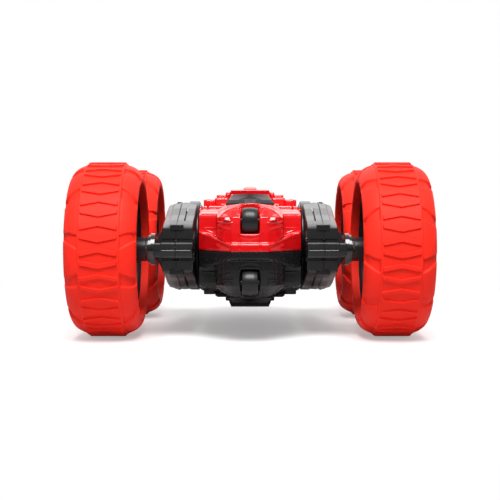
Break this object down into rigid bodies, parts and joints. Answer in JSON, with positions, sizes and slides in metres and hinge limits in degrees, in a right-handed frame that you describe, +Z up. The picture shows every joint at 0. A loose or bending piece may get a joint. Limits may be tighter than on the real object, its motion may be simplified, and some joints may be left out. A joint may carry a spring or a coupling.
{
  "type": "rc stunt car",
  "caption": "Double-sided radio control stunt car: a central body on a cross pivot between two geared arms, each arm driving two balloon tyres, with crowned rollers in nose and tail.",
  "frame": {"origin": "on the ground under the centre of the car", "axes": "+X across the car to the right of the front view, -Y forwards, +Z up; the pivot and the axles lie 36 mm up"},
  "size_m": [0.1456, 0.1656, 0.072],
  "materials": {
    "arm_black": "satin gloss",
    "black_gloss": "glossy",
    "black_satin": "satin",
    "board": "satin",
    "brass_gear": "turned",
    "bush_black": "glossy",
    "cell_wrap": "satin",
    "dark_screw": "blackened",
    "frame_plastic": "matt",
    "jack_metal": "polished",
    "motor_steel": "brushed",
    "pin_steel": "ground",
    "red_gloss": "glossy",
    "rim_black": "satin gloss",
    "roller_black": "satin",
    "smoked_window": "glossy",
    "tyre_red": "matt soft rubber",
    "white_nylon": "matt"
  },
  "bodies": {
    "body": {"chassis_frame": "frame_plastic", "upper_shell": "red_gloss", "lower_shell": "black_gloss", "upper_windshield": "smoked_window", "lower_windshield": "smoked_window", "battery_pack": "cell_wrap", "battery_door": "black_gloss", "circuit_board": "board", "twist_motor": "motor_steel", "charge_jack": "jack_metal", "shell_screws": "dark_screw"},
    "switch": {"switch_knob": "black_satin"},
    "left_arm": {"left_inner_case": "arm_black", "left_outer_case": "arm_black", "left_drive_motor": "motor_steel", "left_twist_gear": "white_nylon", "left_gear_pins": "pin_steel", "left_case_screws": "dark_screw", "left_axle_bushes": "bush_black"},
    "right_arm": {"right_inner_case": "arm_black", "right_outer_case": "arm_black", "right_drive_motor": "motor_steel", "right_twist_gear": "white_nylon", "right_gear_pins": "pin_steel", "right_case_screws": "dark_screw", "right_axle_bushes": "bush_black"},
    "left_front_wheel": {"left_front_tyre": "tyre_red", "left_front_rim": "rim_black", "left_front_axle": "white_nylon", "left_front_hub_cap": "rim_black"},
    "left_rear_wheel": {"left_rear_tyre": "tyre_red", "left_rear_rim": "rim_black", "left_rear_axle": "white_nylon", "left_rear_hub_cap": "rim_black"},
    "left_front_idler_gear": {"left_front_idler": "white_nylon"},
    "left_front_compound_gear": {"left_front_compound": "white_nylon"},
    "left_rear_idler_gear": {"left_rear_idler": "white_nylon"},
    "left_rear_compound_gear": {"left_rear_compound": "white_nylon"},
    "left_pinion_gear": {"left_motor_pinion": "brass_gear"},
    "right_front_wheel": {"right_front_tyre": "tyre_red", "right_front_rim": "rim_black", "right_front_axle": "white_nylon", "right_front_hub_cap": "rim_black"},
    "right_rear_wheel": {"right_rear_tyre": "tyre_red", "right_rear_rim": "rim_black", "right_rear_axle": "white_nylon", "right_rear_hub_cap": "rim_black"},
    "right_front_idler_gear": {"right_front_idler": "white_nylon"},
    "right_front_compound_gear": {"right_front_compound": "white_nylon"},
    "right_rear_idler_gear": {"right_rear_idler": "white_nylon"},
    "right_rear_compound_gear": {"right_rear_compound": "white_nylon"},
    "right_pinion_gear": {"right_motor_pinion": "brass_gear"},
    "lay_shaft_a": {"twist_shaft_a": "white_nylon"},
    "lay_shaft_b": {"twist_shaft_b": "white_nylon"},
    "twist_pinion": {"twist_motor_pinion": "brass_gear"},
    "front_upper_nose_roller": {"front_upper_roller": "roller_black"},
    "front_lower_nose_roller": {"front_lower_roller": "roller_black"},
    "rear_upper_nose_roller": {"rear_upper_roller": "roller_black"},
    "rear_lower_nose_roller": {"rear_lower_roller": "roller_black"}
  },
  "joints": [
    {"name": "left_arm_twist", "type": "hinge", "parent": "body", "child": "left_arm", "pos_m": [0, 0, 0.036], "axis": [1, 0, 0], "range_deg": [-90, 90]},
    {"name": "right_arm_twist", "type": "hinge", "parent": "body", "child": "right_arm", "pos_m": [0, 0, 0.036], "axis": [1, 0, 0], "range_deg": [-90, 90]},
    {"name": "left_front_wheel_spin", "type": "hinge", "parent": "left_arm", "child": "left_front_wheel", "pos_m": [-0.0585, -0.0468, 0.036], "axis": [1, 0, 0], "continuous": true},
    {"name": "left_rear_wheel_spin", "type": "hinge", "parent": "left_arm", "child": "left_rear_wheel", "pos_m": [-0.0585, 0.0468, 0.036], "axis": [1, 0, 0], "continuous": true},
    {"name": "left_front_idler_spin", "type": "hinge", "parent": "left_arm", "child": "left_front_idler_gear", "pos_m": [-0.035, -0.0316, 0.036], "axis": [1, 0, 0], "continuous": true},
    {"name": "left_front_compound_spin", "type": "hinge", "parent": "left_arm", "child": "left_front_compound_gear", "pos_m": [-0.034, -0.0168, 0.036], "axis": [1, 0, 0], "continuous": true},
    {"name": "left_rear_idler_spin", "type": "hinge", "parent": "left_arm", "child": "left_rear_idler_gear", "pos_m": [-0.035, 0.0316, 0.036], "axis": [1, 0, 0], "continuous": true},
    {"name": "left_rear_compound_spin", "type": "hinge", "parent": "left_arm", "child": "left_rear_compound_gear", "pos_m": [-0.034, 0.0168, 0.036], "axis": [1, 0, 0], "continuous": true},
    {"name": "left_motor_spin", "type": "hinge", "parent": "left_arm", "child": "left_pinion_gear", "pos_m": [-0.032, 0, 0.036], "axis": [1, 0, 0], "continuous": true},
    {"name": "right_front_wheel_spin", "type": "hinge", "parent": "right_arm", "child": "right_front_wheel", "pos_m": [0.0585, -0.0468, 0.036], "axis": [1, 0, 0], "continuous": true},
    {"name": "right_rear_wheel_spin", "type": "hinge", "parent": "right_arm", "child": "right_rear_wheel", "pos_m": [0.0585, 0.0468, 0.036], "axis": [1, 0, 0], "continuous": true},
    {"name": "right_front_idler_spin", "type": "hinge", "parent": "right_arm", "child": "right_front_idler_gear", "pos_m": [0.035, -0.0316, 0.036], "axis": [1, 0, 0], "continuous": true},
    {"name": "right_front_compound_spin", "type": "hinge", "parent": "right_arm", "child": "right_front_compound_gear", "pos_m": [0.034, -0.0168, 0.036], "axis": [1, 0, 0], "continuous": true},
    {"name": "right_rear_idler_spin", "type": "hinge", "parent": "right_arm", "child": "right_rear_idler_gear", "pos_m": [0.035, 0.0316, 0.036], "axis": [1, 0, 0], "continuous": true},
    {"name": "right_rear_compound_spin", "type": "hinge", "parent": "right_arm", "child": "right_rear_compound_gear", "pos_m": [0.034, 0.0168, 0.036], "axis": [1, 0, 0], "continuous": true},
    {"name": "right_motor_spin", "type": "hinge", "parent": "right_arm", "child": "right_pinion_gear", "pos_m": [0.032, 0, 0.036], "axis": [1, 0, 0], "continuous": true},
    {"name": "twist_shaft_a_turn", "type": "hinge", "parent": "body", "child": "lay_shaft_a", "pos_m": [0, 0.0161, 0.0408], "axis": [1, 0, 0], "range_deg": [-226, 226]},
    {"name": "twist_shaft_b_turn", "type": "hinge", "parent": "body", "child": "lay_shaft_b", "pos_m": [0, 0.0161, 0.0312], "axis": [1, 0, 0], "range_deg": [-226, 226]},
    {"name": "twist_motor_turn", "type": "hinge", "parent": "body", "child": "twist_pinion", "pos_m": [0, 0.0265, 0.0408], "axis": [1, 0, 0], "range_deg": [-361, 361]},
    {"name": "front_upper_roller_spin", "type": "hinge", "parent": "body", "child": "front_upper_nose_roller", "pos_m": [0, -0.072, 0.0482], "axis": [1, 0, 0], "continuous": true},
    {"name": "front_lower_roller_spin", "type": "hinge", "parent": "body", "child": "front_lower_nose_roller", "pos_m": [0, -0.072, 0.0238], "axis": [1, 0, 0], "continuous": true},
    {"name": "rear_upper_roller_spin", "type": "hinge", "parent": "body", "child": "rear_upper_nose_roller", "pos_m": [0, 0.072, 0.0482], "axis": [1, 0, 0], "continuous": true},
    {"name": "rear_lower_roller_spin", "type": "hinge", "parent": "body", "child": "rear_lower_nose_roller", "pos_m": [0, 0.072, 0.0238], "axis": [1, 0, 0], "continuous": true},
    {"name": "switch_slide", "type": "slide", "parent": "body", "child": "switch", "axis": [0, 1, 0], "range_m": [0, 0.004]}
  ],
  "couplings": [
    {"joint": "left_rear_wheel_spin", "follows": "left_front_wheel_spin", "ratio": 1},
    {"joint": "left_front_idler_spin", "follows": "left_front_wheel_spin", "ratio": -0.58333},
    {"joint": "left_front_compound_spin", "follows": "left_front_wheel_spin", "ratio": 1.0769},
    {"joint": "left_rear_idler_spin", "follows": "left_front_wheel_spin", "ratio": -0.58333},
    {"joint": "left_rear_compound_spin", "follows": "left_front_wheel_spin", "ratio": 1.0769},
    {"joint": "left_motor_spin", "follows": "left_front_wheel_spin", "ratio": -3.4462},
    {"joint": "right_rear_wheel_spin", "follows": "right_front_wheel_spin", "ratio": 1},
    {"joint": "right_front_idler_spin", "follows": "right_front_wheel_spin", "ratio": -0.58333},
    {"joint": "right_front_compound_spin", "follows": "right_front_wheel_spin", "ratio": 1.0769},
    {"joint": "right_rear_idler_spin", "follows": "right_front_wheel_spin", "ratio": -0.58333},
    {"joint": "right_rear_compound_spin", "follows": "right_front_wheel_spin", "ratio": 1.0769},
    {"joint": "right_motor_spin", "follows": "right_front_wheel_spin", "ratio": -3.4462},
    {"joint": "right_arm_twist", "follows": "left_arm_twist", "ratio": -1},
    {"joint": "twist_shaft_a_turn", "follows": "left_arm_twist", "ratio": -2.5},
    {"joint": "twist_shaft_b_turn", "follows": "left_arm_twist", "ratio": 2.5},
    {"joint": "twist_motor_turn", "follows": "left_arm_twist", "ratio": 4}
  ]
}
